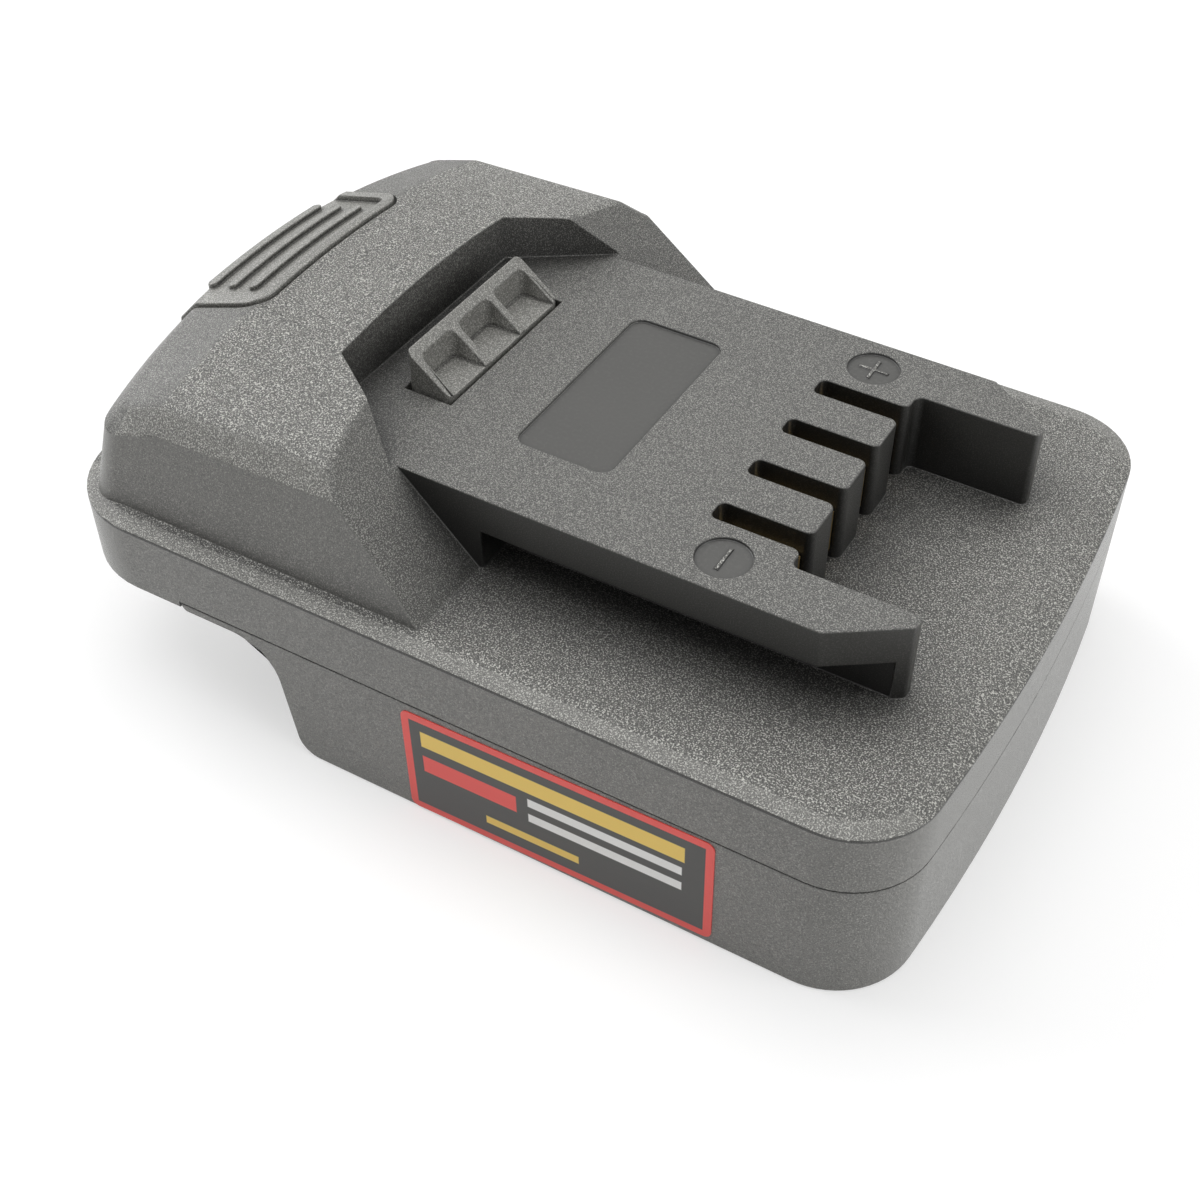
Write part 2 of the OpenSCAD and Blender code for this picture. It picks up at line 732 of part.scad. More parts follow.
// Insulating block that holds the battery blades at the front of the dock
module blade_block() {
    slack = 0.05;
    slot_x = dock_x - block_l - 1;
    color(inner_plastic) difference() {
        translate([dock_x - block_l, -block_w / 2, dock_z - block_h]) cube([block_l, block_w, block_h]);
        for (y = blade_places)
            translate([slot_x, y - blade_t / 2 - slack, blade_z - slack])
                cube([blade_tail_x + blade_tail_l + fit - slot_x, blade_t + 2 * slack, block_h]);
        for (side = [-1, 1])
            translate([block_screw_x, side * block_screw_y, dock_z - screw_bite - run])
                cylinder(d = small_screw_d, h = block_h);
    }
}

// Battery blade: a flat tongue with a rounded tip and a tail that rises through the ceiling
module battery_blade(y) {
    tip = dock_x - block_l - blade_reach;
    end = blade_tail_x + blade_tail_l;
    tip_r = blade_h / 5;
    color(brass) translate([0, y, 0]) rotate([90, 0, 0]) linear_extrude(blade_t, center = true)
        polygon(rounded([[tip, blade_z, tip_r], [end, blade_z, 0], [end, blade_tail_z, 0],
                         [blade_tail_x, blade_tail_z, 0], [blade_tail_x, blade_z + blade_h, 0],
                         [tip, blade_z + blade_h, tip_r]]));
}

module positive_battery_blade() { battery_blade(blade_pitch); }
module signal_battery_blade_left() { battery_blade(blade_pitch / 3); }
module signal_battery_blade_right() { battery_blade(-blade_pitch / 3); }
module negative_battery_blade() { battery_blade(-blade_pitch); }

// Wire from a tool clip's tail to a battery blade's tail, eased at both ends
function eased(t) = t * t * (3 - 2 * t);
module wire(from_y, to_y, d, tint) {
    sides = 8;
    count = 12;
    from = [clip_rear_x + clip_t, from_y, tail_z + power_wire_d / 2];
    to = [blade_tail_x, to_y, ceiling_z + power_wire_d / 2 + run];
    rings = [for (i = [0:count - 1])
        let (t = i / (count - 1), e = eased(t))
        let (centre = [from[0] + (to[0] - from[0]) * t, from[1] + (to[1] - from[1]) * e,
                       from[2] + (to[2] - from[2]) * e])
        each ring(centre, [0, 1, 0], [0, 0, 1], d / 2, sides)];
    color(tint) polyhedron(rings, tube_faces(count, sides));
}

module positive_wire() { wire(1.5 * slot_pitch, blade_pitch, power_wire_d, "#b3221c"); }
module negative_wire() { wire(-1.5 * slot_pitch, -blade_pitch, power_wire_d, "#1c1c1e"); }
module signal_wire_left() { wire(0.5 * slot_pitch, blade_pitch / 3, signal_wire_d, "#e2c23a"); }
module signal_wire_right() { wire(-0.5 * slot_pitch, -blade_pitch / 3, signal_wire_d, "#dcdcdc"); }

// Pan-head screw with a cross recess; its head hangs below the seat and its shank points up
module screw(d, shank_l, head_w, head_t) {
    recess_w = head_w * 0.16;
    difference() {
        union() {
            translate([0, 0, -head_t]) cylinder(d = head_w, h = head_t);
            cylinder(d = d - 2 * thread_gap, h = shank_l);
        }
        for (turn = [0, 90])
            rotate(turn) translate([-head_w / 4, -recess_w / 2, -head_t - 1])
                cube([head_w / 2, recess_w, head_t * 0.6 + 1]);
    }
}

module front_screws() {
    color(steel) for (side = [-1, 1])
        translate([front_screw[0], side * front_screw[1], head_seat_z])
            screw(screw_d, ceiling_z + screw_bite - head_seat_z, head_d, head_h);
}

module rear_screws() {
    color(steel) for (side = [-1, 1])
        translate([rear_screw[0], side * rear_screw[1], cup_z - cup_t])
            screw(screw_d, cup_t + screw_bite, head_d, head_h);
}

module clip_carrier_screws() {
    color(steel) for (side = [-1, 1])
        translate([boss_x, side * boss_y, carrier_z])
            screw(small_screw_d, plate_under_z - 2 * run - carrier_z, 2 * small_screw_d, small_head_h);
}

module blade_block_screws() {
    color(steel) for (side = [-1, 1])
        translate([block_screw_x, side * block_screw_y, ceiling_z]) rotate([180, 0, 0])
            screw(small_screw_d, ceiling_t + screw_bite, 2 * small_screw_d, small_head_h);
}

// Printed film on the near side wall
module side_label() {
    color("#c23a34") translate([label_x, -body_w / 2, label_z]) rotate([90, 0, 0]) rotate(label_turn)
        linear_extrude(label_t) polygon(rounded_box(label_l, label_h, 1));
}

upper_housing();
lower_housing();
release_latch();
latch_spring_left();
latch_spring_right();
clip_carrier();
positive_tool_clip();
signal_tool_clip_left();
signal_tool_clip_right();
negative_tool_clip();
blade_block();
positive_battery_blade();
signal_battery_blade_left();
signal_battery_blade_right();
negative_battery_blade();
positive_wire();
negative_wire();
signal_wire_left();
signal_wire_right();
front_screws();
rear_screws();
clip_carrier_screws();
blade_block_screws();
side_label();
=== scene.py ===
import math

import bmesh
import bpy
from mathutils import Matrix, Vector


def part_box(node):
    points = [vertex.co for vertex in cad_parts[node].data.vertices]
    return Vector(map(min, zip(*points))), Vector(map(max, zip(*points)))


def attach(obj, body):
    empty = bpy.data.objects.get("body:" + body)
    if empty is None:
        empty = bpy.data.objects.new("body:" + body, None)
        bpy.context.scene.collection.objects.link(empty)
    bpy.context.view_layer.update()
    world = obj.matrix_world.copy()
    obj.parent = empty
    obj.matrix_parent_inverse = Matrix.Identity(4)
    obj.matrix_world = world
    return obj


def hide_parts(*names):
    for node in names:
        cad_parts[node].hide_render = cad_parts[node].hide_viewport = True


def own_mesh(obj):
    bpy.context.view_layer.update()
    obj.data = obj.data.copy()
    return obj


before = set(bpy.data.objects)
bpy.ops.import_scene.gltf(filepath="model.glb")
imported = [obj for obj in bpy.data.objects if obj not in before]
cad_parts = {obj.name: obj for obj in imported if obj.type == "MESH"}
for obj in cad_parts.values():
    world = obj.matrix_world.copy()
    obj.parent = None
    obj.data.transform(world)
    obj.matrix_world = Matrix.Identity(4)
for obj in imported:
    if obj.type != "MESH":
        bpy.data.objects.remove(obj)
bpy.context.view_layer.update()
MM = 0.001

# Heights and places of the CAD model that the finishes follow, in millimetres
DECK_Z = 26.15
PLATE_Z = 36.3
PARTING_Z = 17.3
RIM_Z = 25.4
BAND_Z = 25.9
DOCK_Z = 13.0
RECESS = 0.35
RAIL_X = (-4.0, 46.0)
RAIL_Y = 24.5
SLOTS_X = 31.0
SLOTS_Y = 15.5
CLIPS_Y = 16.0
CREASE_Y = 26.0
BUTTON_X = -22.0
DOCK_X = 50.0
DOCK_Y = 35.0
DISC_X = 24.4
SCREW_X = 46.04

# Edges: the angles in degrees from which a crease and a corner are rounded, and the radii in millimetres
CREASE_FROM = 12
CORNER_FROM = 28
ROUND = {"parting": 0.06, "rim": 0.15, "deck": 0.25, "crown": 0.7, "rear": 0.6, "wall": 0.15, "hollow": 0.12,
         "plate": 0.2, "recess": 0.05, "corner": 0.2, "lower": 0.35, "hook": 0.2, "hook_foot": 0.06,
         "button": 0.16, "button_hollow": 0.08, "brass": 0.1, "screw": 0.15, "inner": 0.2}

# Springs and wires, in millimetres
SPRING_WIRE = 0.6
SPRING_TURNS = 5
SPRING_Y = 7.0
SPRING_SIDES = 12
STEPS_PER_TURN = 24
CLIP_PITCH = 8.43
BLADE_PITCH = 8.0
WIRE_FROM = (4.9, 21.75)
WIRE_TO = (31.8, 17.5)
WIRE_SIDES = 16
WIRE_STEPS = 40
POWER_WIRE = 3.0
SIGNAL_WIRE = 1.4

# Label in millimetres: its middle, size, turn in degrees, border, inks, and bars,
# each a middle, a length, a height and a colour
LABEL_AT = (15.4, 8.575)
LABEL_SIZE = (38.8, 15.8)
LABEL_TURN = 1.0
LABEL_BORDER = 1.0
YELLOW = (0.92, 0.64, 0.13, 1.0)
RED = (0.88, 0.09, 0.075, 1.0)
WHITE = (0.9, 0.9, 0.88, 1.0)
BORDER_REDS = ((0.86, 0.085, 0.07, 1.0), (0.92, 0.1, 0.085, 1.0))
LABEL_BARS = [(-0.5, 4.3, 33.0, 2.4, YELLOW), (-10.9, 0.3, 12.2, 2.6, RED), (6.2, 1.5, 19.0, 1.3, WHITE),
              (6.2, -1.0, 19.0, 1.3, WHITE), (-3.0, -4.6, 12.0, 1.2, YELLOW)]

# Floor: half its side in metres, and from where to where its shadow fades, in millimetres
FLOOR_HALF = 3.0
FADE = (250.0, 700.0)

# Soft boxes: name, place and aim in metres, side in metres and power in watts
LAMPS = [("overhead_box", (-0.1, 0.12, 0.9), (0, 0, 0.02), 1.0, 7.2),
         ("window_box", (-0.85, 0.05, 0.45), (0, 0, 0.02), 0.8, 5.5),
         ("fill_box", (0.75, 0.0, 0.35), (0.03, 0, 0.02), 0.6, 2.4)]

# Camera fitted to the photograph: place in metres, turn in radians, lens in millimetres and shift
CAMERA_AT = (0.07909, -0.13747, 0.15458)
CAMERA_TURN = (0.80557, -0.02531, 0.50508)
LENS = 51.46
SHIFT = (-0.0509, 0.0023)


# Small helpers for shader trees
class Tree:
    """A material's node tree, with short calls for the nodes used here."""

    def __init__(self, name):
        self.material = bpy.data.materials.new(name)
        self.material.use_nodes = True
        self.nodes = self.material.node_tree.nodes
        self.links = self.material.node_tree.links
        self.shader = self.nodes["Principled BSDF"]

    def add(self, kind, **values):
        """A node of a kind, with its attributes set."""
        node = self.nodes.new("ShaderNode" + kind)
        for key, value in values.items():
            setattr(node, key, value)
        return node

    def put(self, value, socket):
        """Sets a socket to a number or colour, or links it to another socket."""
        if isinstance(value, bpy.types.NodeSocket):
            self.links.new(value, socket)
        else:
            socket.default_value = value

    def math(self, operation, a, b=0.0):
        node = self.add("Math", operation=operation)
        self.put(a, node.inputs[0])
        self.put(b, node.inputs[1])
        return node.outputs[0]

    def ramp(self, value, low, high, to_low=0.0, to_high=1.0):
        """A smooth step from to_low to to_high while value goes from low to high."""
        node = self.add("MapRange", interpolation_type="SMOOTHSTEP")
        for socket, number in zip(node.inputs, (value, low, high, to_low, to_high)):
            self.put(number, socket)
        return node.outputs[0]

    def mix(self, factor, a, b):
        node = self.add("Mix", data_type="RGBA")
        self.put(factor, node.inputs[0])
        self.put(a, node.inputs[6])
        self.put(b, node.inputs[7])
        return node.outputs[2]

    def millimetres(self):
        """Object coordinates in millimetres."""
        coords = self.add("TexCoord")
        scale = self.add("VectorMath", operation="SCALE")
        self.links.new(coords.outputs["Object"], scale.inputs[0])
        scale.inputs["Scale"].default_value = 1 / MM
        return scale.outputs[0]

    def noise(self, where, scale, detail=2.0, roughness=0.5):
        node = self.add("TexNoise")
        self.put(where, node.inputs["Vector"])
        node.inputs["Scale"].default_value = scale
        node.inputs["Detail"].default_value = detail
        node.inputs["Roughness"].default_value = roughness
        return node.outputs["Fac"]

    def bump(self, height, strength, depth_mm):
        node = self.add("Bump")
        node.inputs["Strength"].default_value = strength
        node.inputs["Distance"].default_value = depth_mm * MM
        self.put(height, node.inputs["Height"])
        return node.outputs["Normal"]

    def painted_hollow_shade(self, reach_mm):
        """Painted shade: low deep in corners and grooves of the piece, where shade falls, 1 on open ground.
        """
        node = self.add("AmbientOcclusion", samples=6, only_local=True)
        node.inputs["Distance"].default_value = reach_mm * MM
        return self.ramp(node.outputs["AO"], 0.58, 1.0, 0.2, 1.0)

    def edges(self, radius_mm):
        """1 along sharp edges, 0 on flat ground."""
        bevel = self.add("Bevel", samples=6)
        bevel.inputs["Radius"].default_value = radius_mm * MM
        flat = self.add("NewGeometry")
        dot = self.add("VectorMath", operation="DOT_PRODUCT")
        self.links.new(bevel.outputs[0], dot.inputs[0])
        self.links.new(flat.outputs["Normal"], dot.inputs[1])
        return self.ramp(dot.outputs["Value"], 0.995, 0.86)

    def shade(self, **sockets):
        """Sets the Principled shader's sockets by name, with _ for a space."""
        for key, value in sockets.items():
            self.put(value, self.shader.inputs[key.replace("_", " ")])
        return self.material


def tint(level):
    """The plastic's slightly warm grey at a brightness."""
    return (level, level * 0.99, level * 0.92, 1.0)


def moulded(name, level, specks, grain_mm, depth_mm, roughness, edge_wear_and_shading, rim=2.2, reach_mm=10.0, line_z=None):
    """Black moulded plastic: an eroded grain, whose high spots show as pale specks that are partly painted
    glints, with painted shade in corners and grooves.

    level is its brightness, and specks how far the grain's lows and highs depart from it.
    edge_wear_and_shading is how strongly the edges show, as worn edges and painted highlight where rim is
    above 1 and as painted edge shade where rim is below 1; rim is their brightness against the rest. reach_mm
    is how wide the painted shade in a corner can be, and line_z the height of a fine painted shadow line,
    such as the one under a wall's top edge.
    """
    t = Tree(name)
    where = t.millimetres()
    grain = t.noise(where, 1.0 / grain_mm, 1.0, 0.5)
    # Painted shade: the ground darkens in the corners and grooves of the piece.
    shade = t.painted_hollow_shade(reach_mm)
    lows = t.ramp(grain, 0.36, 0.5, 1 / (1 + specks), 1.0)
    broad = t.ramp(t.noise(where, 0.07, 2.0), 0.3, 0.7, 0.92, 1.0)
    ground = t.math("MULTIPLY", t.math("MULTIPLY", shade, lows), broad)
    # Pale specks on the grain's high spots: partly the real grain, partly painted glints; they dim in the
    # painted shade.
    pale = t.math("MULTIPLY", t.ramp(grain, 0.54, 0.66), t.ramp(shade, 0.2, 1.0, 0.35, 1.0))
    base = t.mix(ground, (0.0, 0.0, 0.0, 1.0), tint(level))
    base = t.mix(pale, base, tint(level * (1 + 2 * specks)))
    # Edges: paler where rim is above 1, as worn edges and painted highlight; darker where rim is below 1, as
    # painted edge shade.
    patchy = t.ramp(t.noise(where, 0.5, 3.0), 0.35, 0.6, 0.4, 1.0)
    worn_and_shaded_edges = t.math("MULTIPLY", t.edges(0.35), patchy)
    base = t.mix(t.math("MULTIPLY", worn_and_shaded_edges, edge_wear_and_shading), base, tint(level * rim))
    # Painted shadow: a fine dark line at height line_z, under a wall's top edge.
    if line_z is not None:
        split = t.add("SeparateXYZ")
        t.links.new(where, split.inputs[0])
        off = t.math("ABSOLUTE", t.math("SUBTRACT", split.outputs["Z"], line_z))
        base = t.mix(t.ramp(off, 0.24, 0.1, 0.0, 0.85), base, tint(level * 0.1))
    height = t.ramp(grain, 0.3, 0.7)
    rough = t.math("ADD", t.math("MULTIPLY", height, -0.12), roughness + 0.06)
    return t.shade(Base_Color=base, Roughness=rough, Normal=t.bump(height, 0.7, depth_mm))


def metal(name, colour, roughness):
    """Rolled or plated metal with fine drawing marks and a little tarnish."""
    t = Tree(name)
    where = t.millimetres()
    tarnish = t.ramp(t.noise(where, 0.6, 4.0, 0.6), 0.35, 0.7)
    dull = tuple(c * 0.6 for c in colour[:3]) + (1.0,)
    rough = t.math("ADD", t.math("MULTIPLY", t.noise(where, 7.0, 3.0), 0.2), roughness - 0.1)
    base = t.mix(t.math("MULTIPLY", tarnish, 0.5), colour, dull)
    return t.shade(Base_Color=base, Roughness=rough, Metallic=1.0)


def insulation(name, colour):
    """Wire insulation: satin, with a faint mottle."""
    t = Tree(name)
    mottle = t.noise(t.millimetres(), 2.0, 2.0)
    dark = tuple(c * 0.75 for c in colour[:3]) + (1.0,)
    rough = t.math("ADD", t.math("MULTIPLY", mottle, 0.2), 0.35)
    return t.shade(Base_Color=t.mix(mottle, dark, colour), Roughness=rough)


LEVEL = 0.12
COARSE = moulded("coarse_grain", LEVEL * 1.1, specks=1.5, grain_mm=0.17, depth_mm=0.07, roughness=0.5,
                 edge_wear_and_shading=0.25, reach_mm=20.0)
FINE = moulded("fine_grain", LEVEL * 0.8, specks=1.0, grain_mm=0.14, depth_mm=0.03, roughness=0.46, edge_wear_and_shading=0.35)
# Partly painted light: the band is paler than the deck because light falls on its slope; its finer grain is
# real.
BAND = moulded("band_grain_and_painted_light", LEVEL * 1.4, specks=0.8, grain_mm=0.15, depth_mm=0.03, roughness=0.46,
               edge_wear_and_shading=0.2, reach_mm=3.0)
# Partly painted light: the satin walls' level is raised to stand for light bounced up from the white floor.
SATIN = moulded("satin_plastic", LEVEL * 1.4, specks=0.4, grain_mm=0.16, depth_mm=0.012, roughness=0.3,
                edge_wear_and_shading=0.9, rim=0.15, line_z=RIM_Z - 0.17)
SMOOTH = moulded("smooth_plastic", LEVEL * 0.55, specks=0.04, grain_mm=0.5, depth_mm=0.004, roughness=0.34,
                 edge_wear_and_shading=0.8, rim=0.3)
# Painted shade: a darker copy of the satin plastic, for upright walls between the rails that face the dark
# deck.
RAIL_SHADE = moulded("rail_wall_shade", LEVEL * 0.45, specks=0.2, grain_mm=0.16, depth_mm=0.01, roughness=0.34, edge_wear_and_shading=0.2)
LATCH = moulded("latch_plastic", LEVEL * 1.7, specks=0.5, grain_mm=0.16, depth_mm=0.02, roughness=0.42,
                edge_wear_and_shading=0.35, reach_mm=0.5)
INNER = moulded("inner_plastic", 0.07, specks=0.1, grain_mm=0.25, depth_mm=0.01, roughness=0.45, edge_wear_and_shading=0.3)
BRASS = metal("contact_brass", (0.72, 0.52, 0.22, 1.0), 0.32)
STEEL = metal("screw_steel", (0.55, 0.56, 0.58, 1.0), 0.35)
SPRING = metal("spring_steel", (0.48, 0.49, 0.51, 1.0), 0.3)


# Rounded edges
def faces_out(edge):
    """Whether an edge borders a face that looks up or away from the middle of the object."""
    centre = (edge.verts[0].co + edge.verts[1].co) / 2
    outward = Vector((centre.x, centre.y, 0)).normalized()
    return any(f.normal.z > 0.3 or f.normal.dot(outward) > 0.3 for f in edge.link_faces)


def skin(node, body, cuts, finish, radius, materials):
    """A copy of a CAD node with rounded edges, which stands for that node.

    cuts are planes that split faces with holes in them or with two finishes, each a point and a
    normal. finish gives a face's material, and radius an edge's rounding in millimetres, from its
    middle, its angle, whether it is convex and how far the steeper of its faces looks up.
    """
    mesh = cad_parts[node].data.copy()
    piece = bpy.data.objects.new(node + "_skin", mesh)
    bpy.context.collection.objects.link(piece)
    mesh.materials.clear()
    for material in materials:
        mesh.materials.append(material)
    bm = bmesh.new()
    bm.from_mesh(mesh)
    weight = bm.edges.layers.float.new("bevel_weight_edge")
    bmesh.ops.remove_doubles(bm, verts=bm.verts, dist=0.002 * MM)
    for point, normal in cuts:
        every = bm.verts[:] + bm.edges[:] + bm.faces[:]
        cut = bmesh.ops.bisect_plane(bm, geom=every, dist=1e-7, plane_co=Vector(point) * MM,
                                     plane_no=normal)
        for part in cut["geom_cut"]:
            if isinstance(part, bmesh.types.BMEdge):
                part.seam = True
    bmesh.ops.dissolve_limit(bm, angle_limit=math.radians(0.6), verts=bm.verts, edges=bm.edges,
                             delimit={"SEAM"})
    bm.normal_update()
    for face in bm.faces:
        face.smooth = True
        face.material_index = materials.index(finish(face.calc_center_median() / MM, face.normal))
    for edge in bm.edges:
        angle = math.degrees(edge.calc_face_angle(0))
        middle = (edge.verts[0].co + edge.verts[1].co) / (2 * MM)
        up = min((f.normal.z for f in edge.link_faces), default=0.0)
        edge[weight] = radius(middle, angle, edge.is_convex, up) if faces_out(edge) else 0.0
        edge.smooth = edge[weight] > 0 or angle < CORNER_FROM
    bm.to_mesh(mesh)
    bm.free()
    round_off(piece, "WEIGHT", MM)
    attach(piece, body)
    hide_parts(node)


def round_off(piece, limit, width):
    """Adds rounded edges and normals that keep the flat faces flat."""
    bevel = piece.modifiers.new("rounded_edges", "BEVEL")
    bevel.limit_method = limit
    bevel.width = width
    bevel.segments = 3
    bevel.use_clamp_overlap = limit == "ANGLE"
    normals = piece.modifiers.new("flat_faces", "WEIGHTED_NORMAL")
    normals.mode = "FACE_AREA"
    normals.weight = 100
    normals.keep_sharp = True


def near(a, b):
    """Whether two heights in millimetres are the same."""
    return abs(a - b) < 0.03


def upper_finish(centre, normal):
    """Finish of the upper housing by place: coarse, fine, satin, smooth, rail wall or band; the rail wall is
    a darker copy of the satin plastic as painted shade, and the band's paleness is partly painted light.
    """
    level = normal.z > 0.9
    sloped = 0.4 < normal.z < 0.985
    upright = abs(normal.z) < 0.3
    if level and near(centre.z, PLATE_Z - RECESS):
        return SMOOTH
    if level and near(centre.z, PLATE_Z):
        return FINE
    if normal.z > 0.4 and abs(normal.x) > 0.2 and centre.z > DECK_Z:
        return FINE
    # Slopes facing the sides get the paler band plastic, which is partly painted light.
    if sloped and (abs(normal.y) > 0.3 or abs(normal.y) > 0.1 and centre.z < BAND_Z):
        return BAND
    at_rails = RAIL_X[0] < centre.x < RAIL_X[1] and abs(centre.y) < RAIL_Y
    # Painted shade: upright walls between the rails get the darker copy of the satin plastic.
    if upright and at_rails and DECK_Z - 0.1 < centre.z < PLATE_Z:
        return RAIL_SHADE
    if upright and normal.x > 0.3 and centre.z > PLATE_Z:
        return FINE
    return COARSE if normal.z > 0.3 else SATIN


def upper_radius(centre, angle, convex, up):
    """Rounding of the upper housing: soft on the hump, crisp at the rim, none inside."""
    on_wall = PARTING_Z + 0.1 < centre.z < RIM_Z - 0.1
    if angle < CREASE_FROM or on_wall or centre.z < PARTING_Z - 1.5:
        return 0.0
    if centre.z < PARTING_Z + 0.1:
        return ROUND["parting"]
    on_hump = centre.z > PLATE_Z + 0.1
    if angle < CORNER_FROM:
        if near(centre.z, DECK_Z) and up > 0.5:
            return ROUND["deck"]
        return ROUND["rear"] if convex and on_hump and abs(centre.y) < CREASE_Y else 0.0
    if not convex:
        return ROUND["hollow"] if centre.z > PLATE_Z - 0.5 or abs(centre.y) > CLIPS_Y else 0.0
    if near(centre.z, RIM_Z):
        return ROUND["rim"]
    if on_hump:
        return ROUND["crown"] if up > 0.4 else ROUND["wall"]
    if centre.z > PLATE_Z - 0.05:
        return ROUND["plate"]
    if centre.z > PLATE_Z - 0.5:
        return ROUND["recess"]
    in_slots = abs(centre.y) < SLOTS_Y and centre.x < SLOTS_X and centre.z > DECK_Z + 0.1
    return 0.0 if in_slots else ROUND["corner"]


def lower_radius(centre, angle, convex, up):
    """Rounding of the lower housing: crisp at the parting line, none over the dock."""
    inside = centre.z > DOCK_Z - 0.1 and abs(centre.y) < DOCK_Y and abs(centre.x) < DOCK_X
    if angle < CORNER_FROM or inside:
        return 0.0
    return ROUND["parting"] if centre.z > PARTING_Z - 2 else ROUND["lower"]


def latch_radius(centre, angle, convex, up):
    """Rounding of the latch's hook and button, none on the carriage inside."""
    if angle < CORNER_FROM or centre.z < PLATE_Z - 2:
        return 0.0
    if centre.x > BUTTON_X:
        return ROUND["hook_foot"] if centre.z < PLATE_Z + 0.6 else ROUND["hook"]
    return ROUND["button"] if convex else ROUND["button_hollow"]


MIDDLE = ((0, 0, 0), (0, 1, 0))
skin("upper_housing", "housing",
     [MIDDLE, ((DISC_X, 0, 0), (1, 0, 0)), ((0, 0, BAND_Z), (0, 0, 1))],
     upper_finish, upper_radius, [COARSE, FINE, SATIN, SMOOTH, RAIL_SHADE, BAND])
skin("lower_housing", "housing", [MIDDLE, ((SCREW_X, 0, 0), (1, 0, 0))],
     lambda centre, normal: SATIN, lower_radius, [SATIN])
skin("release_latch", "latch", [MIDDLE],
     lambda centre, normal: LATCH, latch_radius, [LATCH])


# Springs and wires
def tube(name, points, radius_mm, sides, material):
    """A closed round tube along points given in millimetres."""
    bm = bmesh.new()
    points = [Vector(p) for p in points]
    rings = []
    across = None
    for i, point in enumerate(points):
        along = (points[min(i + 1, len(points) - 1)] - points[max(i - 1, 0)]).normalized()
        across = along.orthogonal() if across is None else across - along * across.dot(along)
        across.normalize()
        up = along.cross(across)
        angles = [2 * math.pi * k / sides for k in range(sides)]
        ring = [point + radius_mm * (math.cos(a) * across + math.sin(a) * up) for a in angles]
        rings.append([bm.verts.new(corner * MM) for corner in ring])
    for low, high in zip(rings, rings[1:]):
        for k in range(sides):
            after = (k + 1) % sides
            bm.faces.new((low[k], low[after], high[after], high[k])).smooth = True
    bm.faces.new(rings[0][::-1])
    bm.faces.new(rings[-1])
    mesh = bpy.data.meshes.new(name)
    bm.to_mesh(mesh)
    bm.free()
    piece = bpy.data.objects.new(name, mesh)
    bpy.context.collection.objects.link(piece)
    mesh.materials.append(material)
    return piece


def spring(side, sign):
    """A latch spring as a smooth helix, which the latch presses together."""
    node = "latch_spring_" + side
    low, high = (Vector(c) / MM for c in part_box(node))
    middle = (low + high) / 2
    wind_r = (high.x - low.x - SPRING_WIRE) / 2
    rise = high.z - low.z - SPRING_WIRE
    steps = STEPS_PER_TURN * SPRING_TURNS
    points = []
    for i in range(steps + 1):
        a = 2 * math.pi * SPRING_TURNS * i / steps
        points.append((middle.x + wind_r * math.cos(a), sign * SPRING_Y + wind_r * math.sin(a),
                       low.z + SPRING_WIRE / 2 + rise * i / steps))
    piece = tube(node + "_coil", points, SPRING_WIRE / 2, SPRING_SIDES, SPRING)
    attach(piece, "housing")
    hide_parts(node)
    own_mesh(piece)


spring("left", 1)
spring("right", -1)


def wire(node, place, d, slot_name, colour):
    """A wire from a tool clip's tail to a battery blade's tail, eased at both ends.

    place counts pitches from the middle.
    """
    from_y, to_y = place * CLIP_PITCH, place * BLADE_PITCH
    points = []
    for i in range(WIRE_STEPS + 1):
        share = i / WIRE_STEPS
        eased = share * share * (3 - 2 * share)
        points.append((WIRE_FROM[0] + (WIRE_TO[0] - WIRE_FROM[0]) * share,
                       from_y + (to_y - from_y) * eased,
                       WIRE_FROM[1] + (WIRE_TO[1] - WIRE_FROM[1]) * eased))
    piece = tube(node + "_lead", points, d / 2, WIRE_SIDES, insulation(slot_name, colour))
    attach(piece, "housing")
    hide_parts(node)


wire("positive_wire", 1.5, POWER_WIRE, "red_wire", (0.5, 0.02, 0.015, 1.0))
wire("negative_wire", -1.5, POWER_WIRE, "black_wire", (0.02, 0.02, 0.022, 1.0))
wire("signal_wire_left", 0.5, SIGNAL_WIRE, "yellow_wire", (0.7, 0.5, 0.04, 1.0))
wire("signal_wire_right", -0.5, SIGNAL_WIRE, "white_wire", (0.75, 0.75, 0.73, 1.0))


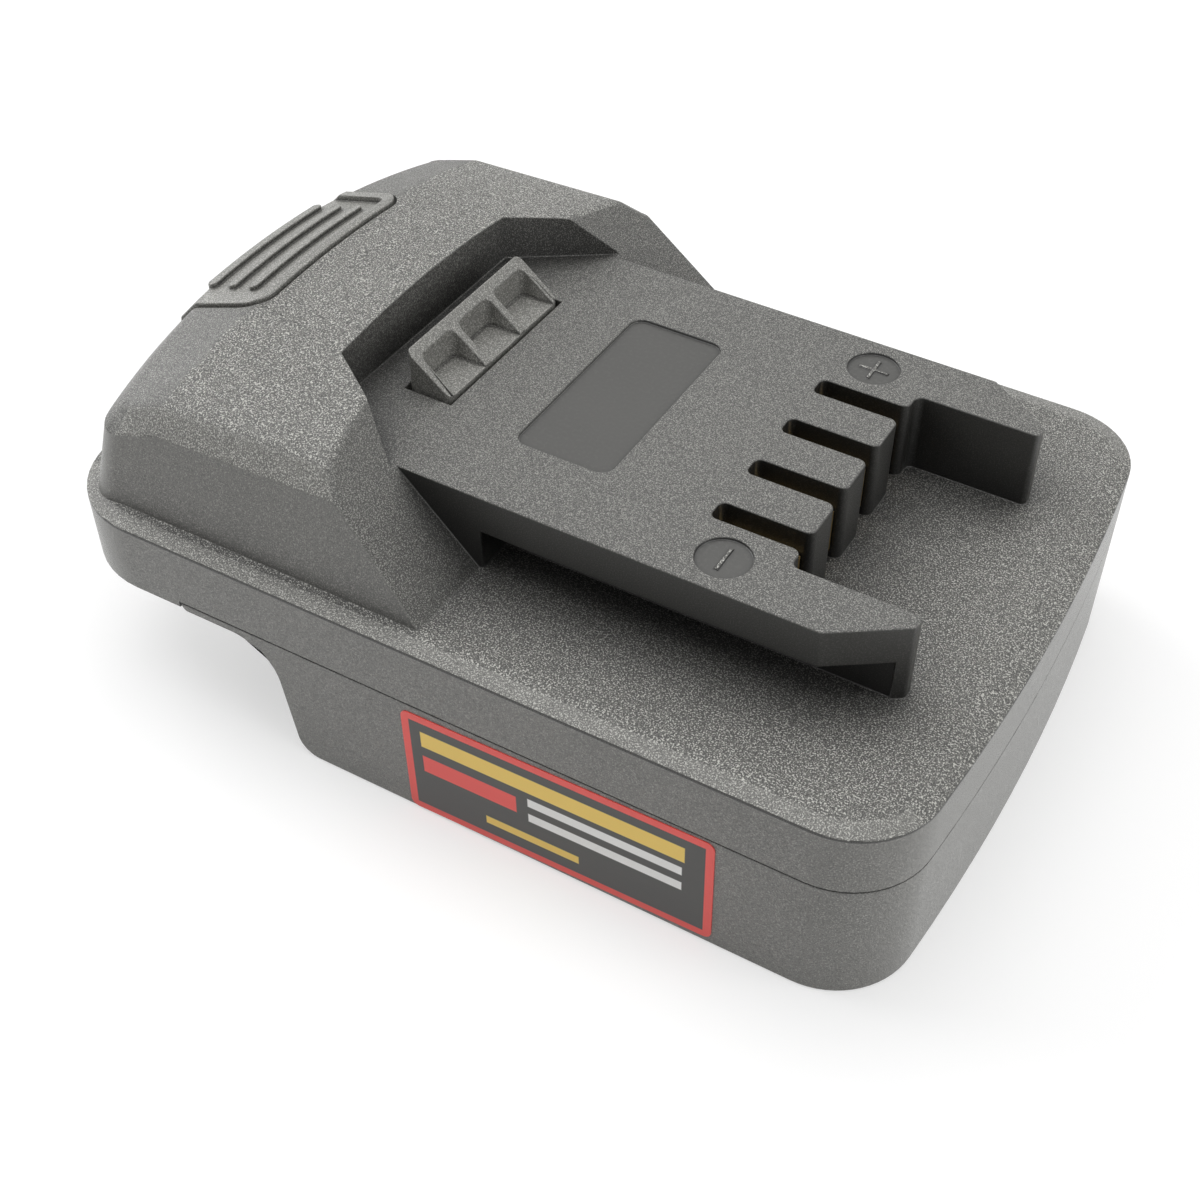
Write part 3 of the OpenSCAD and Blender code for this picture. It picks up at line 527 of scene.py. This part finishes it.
# Label: a printed film with a border and plain bars
def label_film():
    """The film's print, laid out in the plane of the side wall."""
    t = Tree("label_film")
    where = t.millimetres()
    split = t.add("SeparateXYZ")
    t.links.new(where, split.inputs[0])
    x = t.math("SUBTRACT", split.outputs["X"], LABEL_AT[0])
    z = t.math("SUBTRACT", split.outputs["Z"], LABEL_AT[1])
    lean = math.tan(math.radians(LABEL_TURN))
    u = t.math("ADD", x, t.math("MULTIPLY", z, lean))
    v = t.math("SUBTRACT", z, t.math("MULTIPLY", x, lean))

    def bar(u0, v0, length, height):
        """1 inside a rectangle about a point, 0 outside, with a soft printed edge."""
        along = t.math("SUBTRACT", t.math("ABSOLUTE", t.math("SUBTRACT", u, u0)), length / 2)
        across = t.math("SUBTRACT", t.math("ABSOLUTE", t.math("SUBTRACT", v, v0)), height / 2)
        return t.ramp(t.math("MAXIMUM", along, across), 0.06, -0.06)

    ink = t.noise(where, 1.2, 3.0)
    field = t.mix(ink, tint(LEVEL * 0.4), tint(LEVEL * 0.5))
    colour = t.mix(bar(0, 0, LABEL_SIZE[0] - 2 * LABEL_BORDER, LABEL_SIZE[1] - 2 * LABEL_BORDER),
                   t.mix(ink, *BORDER_REDS), field)
    for u0, v0, length, height, shade in LABEL_BARS:
        colour = t.mix(bar(u0, v0, length, height), colour, shade)
    rough = t.math("ADD", t.math("MULTIPLY", ink, 0.1), 0.32)
    return t.shade(Base_Color=colour, Roughness=rough, Normal=t.bump(ink, 0.3, 0.01))


def paint(thing, material):
    thing.data.materials.clear()
    thing.data.materials.append(material)


paint(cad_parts["side_label"], label_film())
for node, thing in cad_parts.items():
    if node.endswith("clip") or "_clip_" in node or "battery_blade" in node:
        paint(thing, BRASS)
        round_off(thing, "ANGLE", ROUND["brass"] * MM)
    elif node.endswith("screws"):
        paint(thing, STEEL)
        round_off(thing, "ANGLE", ROUND["screw"] * MM)
    elif node in ("clip_carrier", "blade_block"):
        paint(thing, INNER)
        round_off(thing, "ANGLE", ROUND["inner"] * MM)


def white_to_the_camera(nodes, links, plain, shown):
    """Mixes two shaders: shown for camera, glossy and transmission rays, plain for the rest."""
    path = nodes.new("ShaderNodeLightPath")
    seen = path.outputs["Is Camera Ray"]
    for ray in ("Is Glossy Ray", "Is Transmission Ray"):
        either = nodes.new("ShaderNodeMath")
        either.operation = "MAXIMUM"
        links.new(seen, either.inputs[0])
        links.new(path.outputs[ray], either.inputs[1])
        seen = either.outputs[0]
    choose = nodes.new("ShaderNodeMixShader")
    links.new(seen, choose.inputs[0])
    links.new(plain, choose.inputs[1])
    links.new(shown, choose.inputs[2])
    return choose.outputs[0]


# Floor: white to the camera, with a shadow of the object that fades out with distance
floor_mesh = bpy.data.meshes.new("floor")
corners = [(x * FLOOR_HALF, y * FLOOR_HALF, 0) for x, y in ((-1, -1), (1, -1), (1, 1), (-1, 1))]
floor_mesh.from_pydata(corners, [], [(0, 1, 2, 3)])
floor = bpy.data.objects.new("floor", floor_mesh)
bpy.context.collection.objects.link(floor)
t = Tree("floor_white")
t.shade(Base_Color=(0.88, 0.88, 0.88, 1.0), Roughness=0.9, Specular_IOR_Level=0.1)
glow = t.add("Emission")
glow.inputs["Strength"].default_value = 0.5
faint = t.add("BsdfDiffuse")
faint.inputs["Color"].default_value = (0.55, 0.55, 0.55, 1.0)
both = t.add("AddShader")
t.links.new(glow.outputs[0], both.inputs[0])
t.links.new(faint.outputs[0], both.inputs[1])
away = t.add("VectorMath", operation="LENGTH")
t.links.new(t.millimetres(), away.inputs[0])
paper = t.add("Emission")
spread = t.add("MixShader")
t.links.new(t.ramp(away.outputs["Value"], *FADE), spread.inputs[0])
t.links.new(both.outputs[0], spread.inputs[1])
t.links.new(paper.outputs[0], spread.inputs[2])
surface = white_to_the_camera(t.nodes, t.links, t.shader.outputs[0], spread.outputs[0])
t.links.new(surface, t.nodes["Material Output"].inputs["Surface"])
paint(floor, t.material)

# World: even white light, pure white behind the object
world = bpy.data.worlds.new("studio")
bpy.context.scene.world = world
world.use_nodes = True
nodes, links = world.node_tree.nodes, world.node_tree.links
back = nodes["Background"]
back.inputs["Color"].default_value = (1, 1, 1, 1)
back.inputs["Strength"].default_value = 0.15
white = nodes.new("ShaderNodeBackground")
white.inputs["Color"].default_value = (1, 1, 1, 1)
surface = white_to_the_camera(nodes, links, back.outputs[0], white.outputs[0])
links.new(surface, nodes["World Output"].inputs["Surface"])


def lamp(name, place, aim, size, watts):
    """A square soft box at a place, turned to a point."""
    data = bpy.data.lights.new(name, "AREA")
    data.size = size
    data.energy = watts
    thing = bpy.data.objects.new(name, data)
    bpy.context.collection.objects.link(thing)
    thing.location = place
    thing.rotation_euler = (Vector(aim) - Vector(place)).to_track_quat("-Z", "Y").to_euler()


for row in LAMPS:
    lamp(*row)

# Camera
camera_data = bpy.data.cameras.new("camera")
camera_data.sensor_fit = "HORIZONTAL"
camera_data.sensor_width = 36.0
camera_data.lens = LENS
camera_data.shift_x, camera_data.shift_y = SHIFT
camera_data.clip_start = 0.01
camera = bpy.data.objects.new("camera", camera_data)
bpy.context.collection.objects.link(camera)
camera.location = CAMERA_AT
camera.rotation_euler = CAMERA_TURN
bpy.context.scene.camera = camera
bpy.context.scene.view_settings.view_transform = "Standard"
